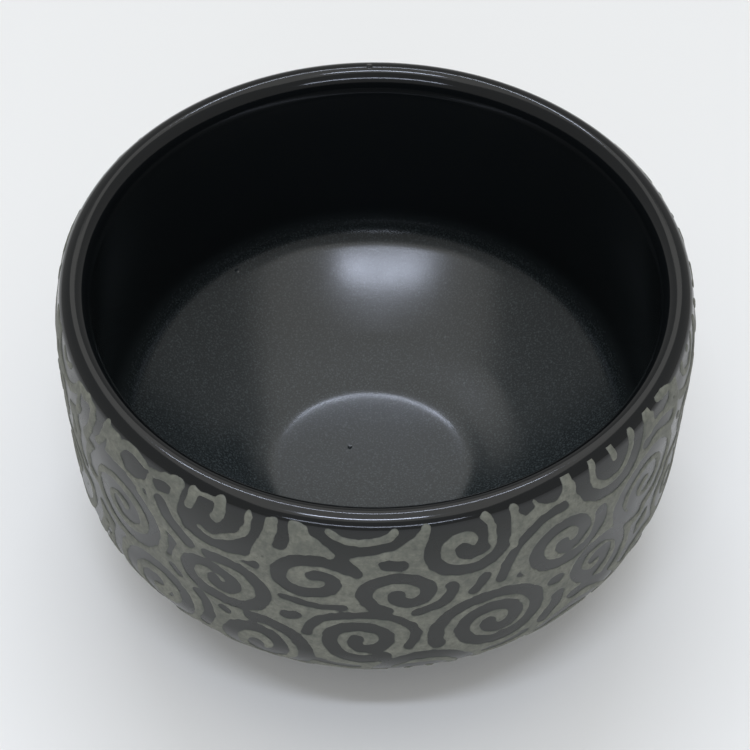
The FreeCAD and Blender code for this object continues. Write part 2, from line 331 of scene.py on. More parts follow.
def bare_stoneware():
    """Unglazed stoneware, turned on the wheel and fired: a dry sandy brown with dark iron specks
    and patches scorched darker, and a gritty skin."""
    material, tree, place = new_material("bare_stoneware")
    scorch_and_sheen = add(tree, "TexNoise", {"Scale": per_mm(14), "Detail": 4.0}, {"Vector": place})
    tone = add(tree, "Mix", {"A": colours().clay, "B": colours().clay_dark}, {"Factor": scorch_and_sheen},
               data_type="RGBA")
    specks = add(tree, "TexVoronoi", {"Scale": per_mm(1.9), "Randomness": 1.0}, {"Vector": place})
    speck = add(tree, "MapRange", span(0.10, 0.18, 1.0, 0.0), {"Value": specks})
    spotted = add(tree, "Mix", {"B": srgb("#2a211b")}, {"Factor": speck, "A": tone},
                  data_type="RGBA")
    grit = add(tree, "TexNoise", {"Scale": per_mm(0.6), "Detail": 4.0}, {"Vector": place})
    relief = add(tree, "Bump", {"Strength": 0.5, "Distance": 0.12 * MM}, {"Height": grit})
    shader = add(tree, "BsdfPrincipled", {"IOR": 1.5, "Metallic": 0.0, "Roughness": 0.86},
                 {"Base Color": spotted, "Normal": relief})
    add(tree, "OutputMaterial", {}, {"Surface": shader})
    return material


def matt_paper_floor():
    """A roll of pale backdrop paper: an even, dry, almost white floor."""
    material, tree, place = new_material("matt_paper_floor")
    fibre = add(tree, "TexNoise", {"Scale": per_mm(3), "Detail": 3.0}, {"Vector": place})
    relief = add(tree, "Bump", {"Strength": 0.05, "Distance": 0.05 * MM}, {"Height": fibre})
    shader = add(tree, "BsdfPrincipled",
                 {"Base Color": colours().floor, "IOR": 1.45, "Roughness": 0.7},
                 {"Normal": relief})
    add(tree, "OutputMaterial", {}, {"Surface": shader})
    return material


def finish_with(piece, make):
    """Gives a piece its one material, made once and shared."""
    material = bpy.data.materials.get(make.__name__) or make()
    if piece.data.materials:
        for slot in piece.material_slots:
            slot.material = material
    else:
        piece.data.materials.append(material)


# ---- Outlines, in metres, as (distance from the axis, height) ----

def arc(centre, radius, start, end, gap=0.5 * MM, fewest=4):
    """Points along an arc, angles in radians, no further apart than the gap."""
    count = max(fewest, math.ceil(abs(end - start) * radius / gap))
    return [(centre[0] + radius * math.cos(start + (end - start) * i / count),
             centre[1] + radius * math.sin(start + (end - start) * i / count))
            for i in range(count + 1)]


def run(start, end, gap=0.8 * MM):
    """Points along a straight stretch."""
    count = max(1, math.ceil(math.dist(start, end) / gap))
    return [(start[0] + (end[0] - start[0]) * i / count, start[1] + (end[1] - start[1]) * i / count)
            for i in range(count + 1)]


def lip_centre():
    return (sizes().lip_radius, sizes().lip_top - sizes().lip_roll)


def outside_outline():
    """The glaze surface from the crest of the lip down over the outside to the foot."""
    s = sizes()
    lip = lip_centre()
    shoulder_x = s.belly_radius - s.shoulder_curve
    across = lip[0] - shoulder_x
    reach = s.shoulder_curve - s.lip_roll
    lean = math.acos(across / reach)
    shoulder = (shoulder_x, lip[1] - reach * math.sin(lean))
    under = (s.belly_radius - s.under_curve, s.belly_foot)
    toe_angle = s.under_slope - math.pi / 2
    points = arc(lip, s.lip_roll, math.pi / 2, lean, gap=0.16 * MM)
    points += arc(shoulder, s.shoulder_curve, lean, 0)[1:]
    points += run((s.belly_radius, shoulder[1]), (s.belly_radius, s.belly_foot))[1:]
    points += arc(under, s.under_curve, 0, toe_angle)[1:]
    toe = points[-1]
    inward = (toe[1] - s.foot_height) / math.tan(s.under_slope)
    points += run(toe, (toe[0] - inward, s.foot_height))[1:]
    return points


def inside_outline():
    """The glaze surface from the crest of the lip down the inside to the middle of the well."""
    s = sizes()
    corner = (s.lip_radius - s.lip_roll - s.floor_corner, s.floor_corner_height)
    leave = s.floor_slope - math.pi / 2
    reach = s.floor_sweep - s.floor_corner
    sweep = (corner[0] - reach * math.cos(leave), corner[1] - reach * math.sin(leave))
    points = [(s.lip_radius - s.lip_roll * math.sin(turn),
               s.lip_top - s.lip_fall * (1 - math.cos(turn)))
              for turn in np.linspace(0, math.pi / 2, 40)]
    points += run(points[-1], (corner[0] + s.floor_corner, corner[1]))[1:]
    points += arc(corner, s.floor_corner, 0, leave)[1:]
    start = points[-1][0]
    count = 110
    for i in range(1, count + 1):
        r = start * (1 - i / count)
        swept = sweep[1] - math.sqrt(s.floor_sweep ** 2 - (r - sweep[0]) ** 2)
        bed = s.well_height + s.well_dish * (r / s.well_radius) ** 2
        above = swept - bed
        points.append((r, bed + (above + math.hypot(above, s.well_brink)) / 2))
    return points


def lip_reach():
    """How far the lip's coat runs from the crest, down the inside and down the outside."""
    s = sizes()
    inner = [d for p, d in zip(inside_outline(), lengths(inside_outline()))
             if p[1] > s.lip_top - s.lip_fall]
    return inner[-1] + LIP_LAP_INSIDE, s.lip_roll * math.pi / 2 + LIP_LAP_OUTSIDE


def lengths(outline):
    """Distance run along an outline at each of its points."""
    path = np.array(outline)
    return np.concatenate([[0], np.cumsum(np.hypot(*np.diff(path, axis=0).T))])


def outward(outline, side):
    """Unit normals of an outline; side is 1 where the surface faces left of its run."""
    path = np.array(outline)
    along = np.gradient(path, axis=0)
    along /= np.linalg.norm(along, axis=1)[:, None]
    return side * np.stack([-along[:, 1], along[:, 0]], 1)


# ---- Modelling ----

def waves(turn, shapes, level=0.0):
    """A level with waves around the bowl added to it."""
    return sum((size * np.cos(humps * turn + shift) for size, humps, shift in shapes), level)


def hand_of_the_potter(points):
    """Moves points on a thrown surface as the potter's hands did: a slightly oval mouth and a
    gently rolling lip, both fading away towards the foot."""
    x, y, z = points.T
    turn = np.arctan2(x, -y)
    lift = np.clip(z / sizes().lip_top, 0, 1) ** 3
    swell = 1 + lift * waves(turn, MOUTH_WAVES) - MOUTH_SHRINK
    dip = lift ** 4 * MM * waves(turn, LIP_WAVES, LIP_DIP)
    return np.stack([x * swell, y * swell, z - dip], 1)


def off_centre(points):
    """Moves the well a little off the axis, where the potter's thumb pressed it."""
    share = WELL_SHIFT_NONE - np.hypot(points[:, 0], points[:, 1])
    share = np.clip(share / (WELL_SHIFT_NONE - WELL_SHIFT_ALL), 0, 1)
    share = share * share * (3 - 2 * share)
    return points + share[:, None] * np.array(WELL_SHIFT) * MM


def read_points(piece):
    flat = np.empty(len(piece.data.vertices) * 3)
    piece.data.vertices.foreach_get("co", flat)
    return flat.reshape(-1, 3)


def write_points(piece, points):
    piece.data.vertices.foreach_set("co", points.astype(np.float32).ravel())
    piece.data.update()


def pick_only(piece):
    bpy.ops.object.select_all(action="DESELECT")
    piece.select_set(True)
    bpy.context.view_layer.objects.active = piece


def throw(name, outline, steps):
    """Draws a closed outline by extruding one vertex from place to place and spins it about the
    axis."""
    bpy.ops.object.select_all(action="DESELECT")
    bpy.ops.mesh.primitive_plane_add(size=MM, location=(0, 0, 0))
    piece = bpy.context.object
    piece.name = name
    piece.data.name = name
    bpy.ops.object.mode_set(mode="EDIT")
    bpy.ops.mesh.merge(type="CENTER")
    spots = [Vector((0, -r, z)) for r, z in outline]
    spots.append(spots[0])
    bpy.ops.transform.translate(value=spots[0])
    for here, there in zip(spots, spots[1:]):
        bpy.ops.mesh.extrude_region_move(TRANSFORM_OT_translate={"value": there - here})
    bpy.ops.mesh.select_all(action="SELECT")
    bpy.ops.mesh.remove_doubles(threshold=WELD)
    bpy.ops.mesh.spin(steps=steps, angle=math.tau, center=(0, 0, 0), axis=(0, 0, 1))
    bpy.ops.mesh.select_all(action="SELECT")
    bpy.ops.mesh.remove_doubles(threshold=WELD)
    bpy.ops.mesh.delete_loose(use_verts=True, use_edges=True, use_faces=False)
    bpy.ops.mesh.select_all(action="SELECT")
    bpy.ops.mesh.normals_make_consistent(inside=False)
    bpy.ops.object.mode_set(mode="OBJECT")
    return piece


def hand_in(piece, make, slot, *nodes, angle=50):
    """Shades, finishes and registers a piece that is in its place."""
    pick_only(piece)
    bpy.ops.object.shade_smooth_by_angle(angle=math.radians(angle))
    finish_with(piece, make)
    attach(piece, BODY)
    if nodes:
        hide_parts(*nodes)


def coat_over(outline, side, depth):
    """Closes a surface outline with the same line one coat deeper, at every sixth point."""
    back = np.array(outline) - depth * outward(outline, side)
    back[:, 0] = np.maximum(back[:, 0], 0)
    return list(outline) + [tuple(p) for p in back[::-6]]


class BOWL_OT_glazed_inside(bpy.types.Operator):
    """Throws the glazed inside: steep wall, swept floor and round well"""

    bl_idname = "bowl.glazed_inside"
    bl_label = "Glazed inside"

    def execute(self, context):
        outline = inside_outline()
        hidden = lip_reach()[0] - TUCK_INSIDE
        outline = [p for p, d in zip(outline, lengths(outline)) if d > hidden]
        piece = throw("glazed_inside", coat_over(outline, -1, sizes().coat), sizes().steps)
        write_points(piece, hand_of_the_potter(off_centre(read_points(piece))))
        hand_in(piece, inside_black_glaze, "black_glaze", "inside_glaze")
        return {"FINISHED"}


class BOWL_OT_glazed_lip(bpy.types.Operator):
    """Throws the glazed lip, whose coat laps over the wall's coats on both sides"""

    bl_idname = "bowl.glazed_lip"
    bl_label = "Glazed lip"

    def execute(self, context):
        sides = []
        for outline, reach in zip((inside_outline(), outside_outline()), lip_reach()):
            sides.append([p for p, d in zip(outline, lengths(outline)) if d < reach])
        outline = np.array(sides[0][::-1] + sides[1][1:])
        normals = outward(outline, 1)
        surface = outline + LIP_PROUD * normals
        surface[:, 1] = np.minimum(surface[:, 1], sizes().lip_top)
        back = outline - LIP_DEPTH * normals
        shell = [tuple(p) for p in surface] + [tuple(p) for p in back[::-3]]
        piece = throw("glazed_lip", shell, sizes().steps)
        write_points(piece, hand_of_the_potter(read_points(piece)))
        hand_in(piece, satin_black_glaze, "black_glaze", "lip_glaze")
        return {"FINISHED"}


class BOWL_OT_glazed_outside(bpy.types.Operator):
    """Throws the glazed outside, down to the rounded edge where the glaze stops above the foot"""

    bl_idname = "bowl.glazed_outside"
    bl_label = "Glazed outside"

    def execute(self, context):
        outline = outside_outline()
        run_down = lengths(outline)
        hidden = lip_reach()[1] - TUCK_OUTSIDE
        stop = run_down[-1] - GLAZE_STOP
        outline = [p for p, d in zip(outline, run_down) if hidden < d < stop]
        normal = outward(outline, 1)[-1]
        bead = Vector(outline[-1]) - GLAZE_BEAD * Vector(normal)
        start = math.atan2(normal[1], normal[0])
        outline += arc(bead, GLAZE_BEAD, start, start - math.radians(120), gap=0.12 * MM)[1:]
        piece = throw("glazed_outside", coat_over(outline, 1, sizes().coat), sizes().steps)
        write_points(piece, hand_of_the_potter(read_points(piece)))
        hand_in(piece, satin_black_glaze, "black_glaze", "outside_glaze")
        return {"FINISHED"}


# The turned foot, in millimetres from the axis and above the ground. An arc gives its middle,
# radius, first and last angle and spacing of points, a straight stretch its ends and spacing.
FOOT_TOP = [(28.3, 6.15), (28.3, 5.95)]
FOOT_TURNS = [
    (arc, (28.35, 5.0), 0.95, 95, 186, 0.2),  # the hollow under the edge of the glaze
    (run, (27.3, 4.6), (26.75, 1.0), 0.3),  # the outer face
    (arc, (26.05, 0.85), 0.7, 5, -85, 0.12),  # the tread's outer edge
    (arc, (24.3, 3.9), 3.75, -72, -108, 0.3),  # the tread
    (arc, (22.55, 0.85), 0.7, -95, -178, 0.12),  # the tread's inner edge
    (run, (21.83, 1.1), (21.5, 4.2), 0.3),  # the inner face
    (arc, (20.2, 4.3), 1.3, 2, 85, 0.2),  # the corner of the recess
]
RECESS_RADIUS, RECESS_HEIGHT = 20.2, 5.62
GROOVES, GROOVE_DEPTH = 17, 0.035
FOOT_BACK, FOOT_STEPS = 6.2, 192


class BOWL_OT_bare_foot(bpy.types.Operator):
    """Turns the bare foot ring and the recess inside it"""

    bl_idname = "bowl.bare_foot"
    bl_label = "Bare foot"

    def execute(self, context):
        outline = list(FOOT_TOP)
        for draw, *shape, gap in FOOT_TURNS:
            if draw is arc:
                shape[2:] = [math.radians(angle) for angle in shape[2:]]
            outline += draw(*shape, gap=gap)
        count = 120
        for i in range(1, count + 1):
            ripple = GROOVE_DEPTH * math.sin(i / count * GROOVES * math.tau)
            outline.append((RECESS_RADIUS * (1 - i / count), RECESS_HEIGHT + ripple))
        outline.append((0, FOOT_BACK))
        shell = [(r * MM, z * MM) for r, z in outline]
        piece = throw("bare_foot", shell, FOOT_STEPS)
        hand_in(piece, bare_stoneware, "bare_clay", "foot_ring", angle=60)
        return {"FINISHED"}


class BOWL_OT_clay_body(bpy.types.Operator):
    """Gives the clay body its fired finish"""

    bl_idname = "bowl.clay_body"
    bl_label = "Clay body"

    def execute(self, context):
        finish_with(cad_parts["clay_body"], bare_stoneware)
        return {"FINISHED"}


# ---- The spirals ----
# The outside is unrolled to a sheet. A place on it is (degrees around from the front, millimetres
# down from the crest of the lip), and the sheet is worked on in millimetres.

SHEET_RADIUS = 61.0
PER_DEGREE = SHEET_RADIUS * math.pi / 180
ROUND = 360 * PER_DEGREE

# The spirals around the front: centre, angle of the inner end, distances from the centre after
# each quarter turn, angle of the outer end, and 1 where they wind anticlockwise, -1 clockwise.
FRONT_COILS = [
    ((15.3, 9.2), 180, (0.9, 1.3, 3.0, 5.6, 6.4, 5.8, 6.6, 6.6), 760, 1),
    ((4.6, 20.0), 180, (0.8, 2.6, 4.7, 4.8, 6.5, 5.4), 600, 1),
    ((-2.0, 34.6), 180, (1.0, 2.9, 4.6, 4.2, 5.8, 6.8, 6.8), 665, 1),
    ((21.0, 33.8), 185, (1.3, 2.7, 4.3, 4.6, 6.3, 6.4, 8.6, 8.6, 11.2, 10.6), 920, 1),
    ((9.0, 48.5), 180, (0.8, 2.4, 3.6, 3.2, 5.2, 7.2, 8.4, 7.7, 8.6), 900, 1),
    ((34.3, 18.0), 180, (1.5, 2.2, 3.3, 5.2, 7.0, 6.0, 7.6, 7.9), 742, 1),
    ((-10.0, 17.0), 90, (1.5, 3.6, 3.7, 6.2, 5.9, 8.3), 505, -1),
    ((-27.0, 25.3), 180, (0.9, 1.6, 3.1, 3.1, 6.7, 5.5, 8.9, 6.9, 7.6), 824, 1),
    ((-48.5, 22.0), 180, (1.0, 2.0, 3.5, 4.3, 5.8, 7.0, 8.8, 9.4, 9.8), 900, 1),
    ((-41.2, 40.0), 90, (1.8, 3.0, 4.6, 7.2, 7.3, 7.8, 8.0), 640, 1),
    ((-19.8, 42.0), 180, (1.0, 3.0, 3.8, 5.2, 6.5, 7.0, 8.6, 8.8, 9.2), 822, 1),
    ((54.5, 20.3), 270, (1.2, 2.0, 3.2, 4.6, 5.8, 6.6, 7.8, 9.0, 7.8), 980, 1),
    ((42.0, 31.3), 135, (1.2, 2.1, 2.9, 4.3, 5.6, 5.9, 7.6, 8.2), 690, -1),
]

# Other black strokes around the front: half width in millimetres, then the places they run through.
FRONT_STROKES = [
    (1.15, ((34.5, 7.5), (30, 7.8), (27, 9.5), (24, 12.5), (22.5, 16.5), (21.5, 21))),
    (1.2, ((12.8, 18.8), (13, 21), (11, 24.3), (7.2, 26.2))),
    (1.1, ((18.6, 18.4), (17.9, 20.5), (16.8, 22.3))),
    (0.9, ((20, 44.5), (24, 44), (27.5, 42.5))),
    (0.95, ((-9.5, 43.5), (-6, 44.8), (-3, 45.3))),
    (0.85, ((-15.2, 23.5), (-10, 24.7), (-5, 24.4))),
    (1.1, ((-5.4, 9.8), (-3.8, 12.0), (-2.8, 13.8))),
    (1.2, ((-31.5, 33), (-30, 35.5), (-29.8, 39), (-31, 42.5))),
    (1.5, ((-38, 10.5), (-36, 14), (-32.5, 18))),
    (1.3, ((37, 38), (41, 38), (45, 40.5), (47.5, 43.5))),
    (1.3, ((31, 45), (34, 43), (38, 42.2), (42, 43.3), (44, 45.5))),
    (1.4, ((33.5, 34.8), (33, 37.5), (30.8, 40.5))),
    (1.2, ((53, 8.4), (57, 7.7), (62, 10))),
    (1.05, ((-11.3, 34), (-10.6, 31), (-7.8, 28.1), (-2, 26.6), (3.4, 27.6), (6.6, 31), (7, 34.2),
            (6.1, 37.2))),
    (1.2, ((3.1, 11.3), (4.6, 11.3))),
    (1.3, ((1.9, 11.2), (4.4, 11.5))),
    (0.95, ((-26.7, 34.3), (-26.0, 34.6))),
    (1.3, ((-14.8, 29.4), (-13.4, 29))),
    (0.8, ((-37, 29), (-35.4, 30.6))),
    (1.45, ((32.2, 29.2), (33, 29.2))),
]

# Black fields under the lip, as closed outlines, that the fingers of slip reach up between.
LIP_FIELDS = [
    ((-36, 0), (-34.9, 6), (-34.6, 10), (-33, 13.5), (-29, 15.3), (-25, 15.3), (-21, 14.2),
     (-19.6, 10), (-18.2, 6), (-17.4, 0)),
    ((-11.5, 0), (-10.5, 4.5), (-8, 6.8), (-5.5, 9.7), (-1, 8.7), (3, 7.4), (6, 5), (7.6, 3), (8, 0)),
    ((-16.6, 0), (-16.0, 4), (-16.8, 8), (-17.2, 10), (-14.8, 9.6), (-13.4, 8.2), (-14, 5), (-14.2, 0)),
    ((35.4, 0), (35.3, 6), (37, 9.4), (40, 11.8), (44, 12.8), (48, 11.4), (50.6, 8.6), (52.4, 4),
     (52.4, 0)),
    ((-48.8, 0), (-48.0, 3.5), (-47.9, 7), (-46.4, 9.4), (-44, 9.6), (-41.6, 8.2), (-40.6, 5), (-40, 0)),
    ((-56, 0), (-55.5, 6), (-57, 11), (-58.5, 13.5), (-52, 14.2), (-46, 13.6), (-43.4, 12), (-45, 10.8),
     (-49.3, 10.2), (-52.5, 10.5), (-51.5, 6), (-50.8, 0)),
    ((-40, 0), (-39.8, 6.5), (-38.6, 8.6), (-36.2, 7.4), (-35.6, 5.4), (-38, 4.8), (-37, 0)),
    ((19.4, 0), (19.6, 6), (20.6, 10), (22, 12.4), (23, 9), (22.5, 5), (22.3, 0)),
    ((24.4, 0), (24.2, 4.4), (25.4, 5.5), (26.6, 5), (27.6, 4), (29.6, 5), (31.4, 5.2), (32.5, 4),
     (32.7, 0)),
    ((8.6, 0), (8.6, 5), (10.5, 6), (12, 0)),
    ((-23.4, 16.2), (-21, 15.6), (-19.4, 14.6), (-19.1, 16), (-19.4, 17.8), (-21, 16.8)),
    ((55.8, 0), (55.8, 5), (59, 5.6), (61.4, 5), (61.8, 3.4), (58, 2.8), (57, 0)),
]

# Grey lines of slip over those fields: half width, then places.
SLIP_LINES = [
    (1.2, ((-26, 2.6), (-26, 5), (-26.6, 7.0))),
    (0.95, ((-31, 3), (-31.4, 5), (-32, 7.2))),
    (0.6, ((-31, 3.2), (-28, 3.0), (-26, 2.8))),
    (0.75, ((-20.7, 3), (-21.2, 7), (-22.6, 9.4), (-25, 11), (-27, 12.2))),
    (0.6, ((-29.9, 11.2), (-28, 12.2))),
    (0.85, ((-16.3, 3), (-17, 7), (-18.3, 11.5))),
    (1.35, ((-12.8, 3.2), (-12.5, 6), (-12.8, 9))),
    (0.6, ((-12.5, 6.3), (-10, 7.5), (-7.2, 9.6))),
    (0.85, ((-7.5, 3.2), (-5.2, 5), (-2, 5.6), (2, 4.6), (3.3, 3.2))),
    (0.8, ((39, 1.6), (39.1, 6), (41.8, 8.7), (45.6, 8.4), (48.2, 5.2), (49, 1.8))),
    (0.75, ((43.6, 1.4), (44.2, 4.2))),
    (1.0, ((-41.6, 4.4), (-44, 3.3), (-47, 4), (-49, 7), (-49.6, 9.5))),
    (0.85, ((-51.9, 2.8), (-52.9, 7), (-54.8, 10.2))),
    (0.95, ((-39, 4.8), (-36, 3.6), (-33.8, 3.1), (-34.6, 6), (-35.3, 10.5))),
    (0.8, ((8.4, 2.6), (7.8, 6))),
    (0.85, ((18.2, 2.6), (19.2, 4.8), (19.4, 9))),
    (0.85, ((23.2, 2.6), (23.4, 7), (23.2, 12))),
    (0.5, ((26.9, 2.9), (27.6, 4.6))),
    (1.2, ((33.6, 1.6), (33.8, 5), (35.6, 9))),
    (1.3, ((54, 2), (53.8, 6))),
    (0.75, ((53.8, 6.1), (57, 5.9), (61, 6.8))),
    (0.6, ((57.8, 1.9), (61.8, 2.4), (63.2, 4.6), (65, 6))),
    (0.8, ((-60.3, 4.7), (-58.7, 3.0), (-56.9, 4.4), (-57.5, 7.2))),
    (0.7, ((-62.3, 4), (-62.3, 6.5), (-62.6, 10))),
    (0.35, ((25.6, 30.8), (26.5, 32.4), (26.9, 34))),
]

# The listed front reaches this many degrees to each side and millimetres down. The coils of
# the rest lie between these depths and have circles of these sizes.
FRONT_SIDE, FRONT_LOW = 60, 48
SPARE_COIL_TOP, SPARE_COIL_LOW = 1.5, 60.0
SPARE_COIL_LEAST, SPARE_COIL_SIZES = 4.6, (6.0, 9.2)
SPARE_COIL_THINNER = 0.87
UNWORKED = 60.0

# The net's grid starts this far down the sheet and ends this far below the pattern, and keeps this
# many millimetres of what lies within the black.
NET_HEAD, NET_HEM, NET_SKIRT = 1.2 * MM, 1.6 * MM, 0.6

# Thinning aims at this many triangles and may stop well above it, since only the net's hidden back
# may be thinned.
NET_TRIANGLES = 158000


def around(x, middle):
    """How far around the sheet places lie from a middle, the short way."""
    return (x - middle + ROUND / 2) % ROUND - ROUND / 2


def on_sheet(places):
    return np.array([(a * PER_DEGREE, down) for a, down in places], float)


def through(values, where):
    """A smooth run through evenly numbered values, read at fractional numbers."""
    values = np.asarray(values, float)
    last = len(values) - 1
    first = np.clip(np.floor(where).astype(int), 0, last - 1)
    t = (where - first).reshape(-1, *[1] * (values.ndim - 1))
    a, b = values[np.maximum(first - 1, 0)], values[first]
    c, d = values[first + 1], values[np.minimum(first + 2, last)]
    return b + 0.5 * t * (c - a + t * (2 * a - 5 * b + 4 * c - d + t * (3 * (b - c) + d - a)))


def coil_line(centre, start, reaches, end, hand):
    """The middle of a spiral stroke, in millimetres on the sheet."""
    quarters = (end - start) / 90
    at = np.linspace(0, quarters, int(quarters * 10) + 1)
    reach = through(reaches, np.minimum(at, len(reaches) - 1))
    angle = np.radians(start + hand * 90 * at)
    return np.stack([centre[0] + reach * np.cos(angle), centre[1] - reach * np.sin(angle)], 1)


def stroke_line(places):
    spots = on_sheet(places)
    return through(spots, np.linspace(0, len(spots) - 1, (len(spots) - 1) * 6 + 1))


class Sheet:
    """The unrolled outside as a grid of places with the distance from each to the black."""

    def __init__(self, columns, rows, top, low):
        self.shape = (rows + 1, columns + 1)
        across = np.linspace(0, ROUND, columns + 1)
        down = np.linspace(low, top, rows + 1)
        self.across, self.down = np.meshgrid(across, down)
        self.far = np.full(self.shape, UNWORKED)

    def near(self, line, reach):
        """Distance from a line to the places within reach of it, and which places those are."""
        middle = line[:, 0].mean()
        x = around(self.across, middle) + middle
        low, high = line.min(0) - reach, line.max(0) + reach
        chosen = (x > low[0]) & (x < high[0]) & (self.down > low[1]) & (self.down < high[1])
        spots = np.stack([x[chosen], self.down[chosen]], 1)
        best = np.full(len(spots), 1e9)
        for start, end in zip(line, line[1:]):
            step = end - start
            share = np.clip((spots - start) @ step / max(step @ step, 1e-12), 0, 1)
            gap = spots - start - share[:, None] * step
            best = np.minimum(best, (gap * gap).sum(1))
        return chosen, np.sqrt(best), spots

    def wax(self, line, half_width, reach=7.0):
        chosen, distance, _ = self.near(line, reach)
        self.far[chosen] = np.minimum(self.far[chosen], distance - half_width)

    def wax_field(self, outline, reach=7.0):
        closed = np.concatenate([outline, outline[:1]])
        chosen, distance, spots = self.near(closed, reach)
        inside = np.zeros(len(spots), bool)
        for (x0, y0), (x1, y1) in zip(closed, closed[1:]):
            crosses = (y0 > spots[:, 1]) != (y1 > spots[:, 1])
            at = x0 + (spots[:, 1] - y0) * (x1 - x0) / (y1 - y0 + 1e-12)
            inside ^= crosses & (spots[:, 0] < at)
        self.far[chosen] = np.minimum(self.far[chosen], np.where(inside, -distance, distance))

    def trail(self, line, half_width):
        chosen, distance, _ = self.near(line, half_width + 1.5)
        self.far[chosen] = np.maximum(self.far[chosen], half_width - distance)

    def waver(self, size, chance):
        """Smooth random values from -1 to 1 with humps of this size, that meet around the bowl."""
        across = max(4, round(ROUND / size))
        down = math.ceil(np.ptp(self.down) / size) + 3
        knots = np.array([[chance.uniform(-1, 1) for _ in range(across)] for _ in range(down)])
        x, y = self.across / ROUND * across, (self.down - self.down.min()) / size
        i, j = np.floor(x).astype(int), np.floor(y).astype(int)
        u, v = x - i, y - j
        u, v = u * u * (3 - 2 * u), v * v * (3 - 2 * v)
        a, b = knots[j, i % across], knots[j, (i + 1) % across]
        c, d = knots[j + 1, i % across], knots[j + 1, (i + 1) % across]
        return (a * (1 - u) + b * u) * (1 - v) + (c * (1 - u) + d * u) * v

    def soften(self, passes):
        """Rounds the corners of the black shapes."""
        for _ in range(passes):
            ring = self.far[:, :-1]
            ring = (np.roll(ring, 1, 1) + 2 * ring + np.roll(ring, -1, 1)) / 4
            padded = np.concatenate([ring[:1], ring, ring[-1:]])
            ring = (padded[:-2] + 2 * padded[1:-1] + padded[2:]) / 4
            self.far = np.concatenate([ring, ring[:, :1]], 1)


def drawn_by_hand(across, down):
    """Where the listed front of the pattern is."""
    side = FRONT_SIDE * PER_DEGREE
    return ((across <= side) | (across >= ROUND - side)) & (down < FRONT_LOW)


def front_circles(stroke):
    """Centre and outer size of each front spiral, for the others to keep clear of."""
    found = []
    for centre, _, reaches, _, _ in FRONT_COILS:
        found.append((*on_sheet([centre])[0], max(reaches[-4:]) + stroke))
    for places in LIP_FIELDS:
        outline = on_sheet(places)
        middle = (outline.min(0) + outline.max(0)) / 2
        found.append((*middle, np.ptp(outline[:, 0]) / 2))
    return found


def spare_circles(taken, gap, chance):
    """Packs the rest of the sheet with circles for more spirals, working around from the front."""
    spots = [(x, y) for x in np.arange(0, ROUND, 1.0)
             for y in np.arange(SPARE_COIL_TOP, SPARE_COIL_LOW, 1.0)]
    nudges = [[chance.uniform(-0.4, 0.4) for _ in range(2)] for _ in spots]
    spots = np.array(spots) + np.array(nudges)

    def room_beside(room, x, y, size):
        away = np.hypot(around(spots[:, 0], x), spots[:, 1] - y)
        return np.minimum(room, away - size - gap)

    room = np.where(drawn_by_hand(spots[:, 0], spots[:, 1]), -1.0, 40.0)
    for circle in taken:
        room = room_beside(room, *circle)
    circles = []
    while room.max() > SPARE_COIL_LEAST:
        wish = chance.uniform(*SPARE_COIL_SIZES)
        fits = np.nonzero(room > min(wish, room.max() - 0.01))[0]
        pick = fits[np.argmin(spots[fits, 0] + 0.15 * spots[fits, 1])]
        circles.append((*spots[pick], min(room[pick], wish + 0.6)))
        room = room_beside(room, *circles[-1])
    return circles


def spare_coil(x, y, size, stroke, gap, chance):
    """A spiral stroke that fills one circle, drawn with an unsteady hand."""
    pitch = 2 * stroke + gap
    inner, edge = 0.9, size - stroke
    start = chance.uniform(0, 360)
    hand = 1 if chance.random() < 0.85 else -1
    outer = 4 * (edge - inner) / pitch
    quarters = outer + chance.uniform(1.2, 2.4)
    oval, tilt = chance.uniform(0.03, 0.12), chance.uniform(0, math.pi)
    reaches = []
    for number in range(math.ceil(quarters) + 1):
        grown = min(inner + pitch * number / 4, edge + 0.35 * max(0, number - outer))
        angle = math.radians(start + hand * 90 * number)
        squash = 1 - oval + oval * math.cos(2 * (angle - tilt))
        reaches.append(grown * squash + chance.uniform(-0.3, 0.3) * min(1, number / 2))
    return coil_line((x, y), start, reaches, start + 90 * quarters, hand)


def fill_gaps(sheet, stroke, gap):
    """Puts small black shapes in the wide places between the spirals, and a second shape within
    the first where a place is wide enough."""
    roomy, margin = gap * 1.45, gap * 0.95
    seeds = np.zeros(sheet.shape, bool)
    free = ~drawn_by_hand(sheet.across, sheet.down)
    free &= (sheet.down > 3) & (sheet.down < SPARE_COIL_LOW + 1)
    waiting = np.where(free, sheet.far, 0)
    while waiting.max() > roomy:
        row, column = np.unravel_index(waiting.argmax(), waiting.shape)
        x, y, size = sheet.across[row, column], sheet.down[row, column], waiting[row, column]
        close = np.hypot(around(sheet.across, x), sheet.down - y)
        seeds |= close < size + 0.8
        waiting[close < size + 0.4] = 0
    pitch = 2 * stroke + gap
    rings = np.abs((sheet.far - margin) % pitch - stroke) - stroke
    filled = np.where(sheet.far > margin, rings, margin - sheet.far)
    sheet.far = np.minimum(sheet.far, np.where(seeds, filled, UNWORKED))


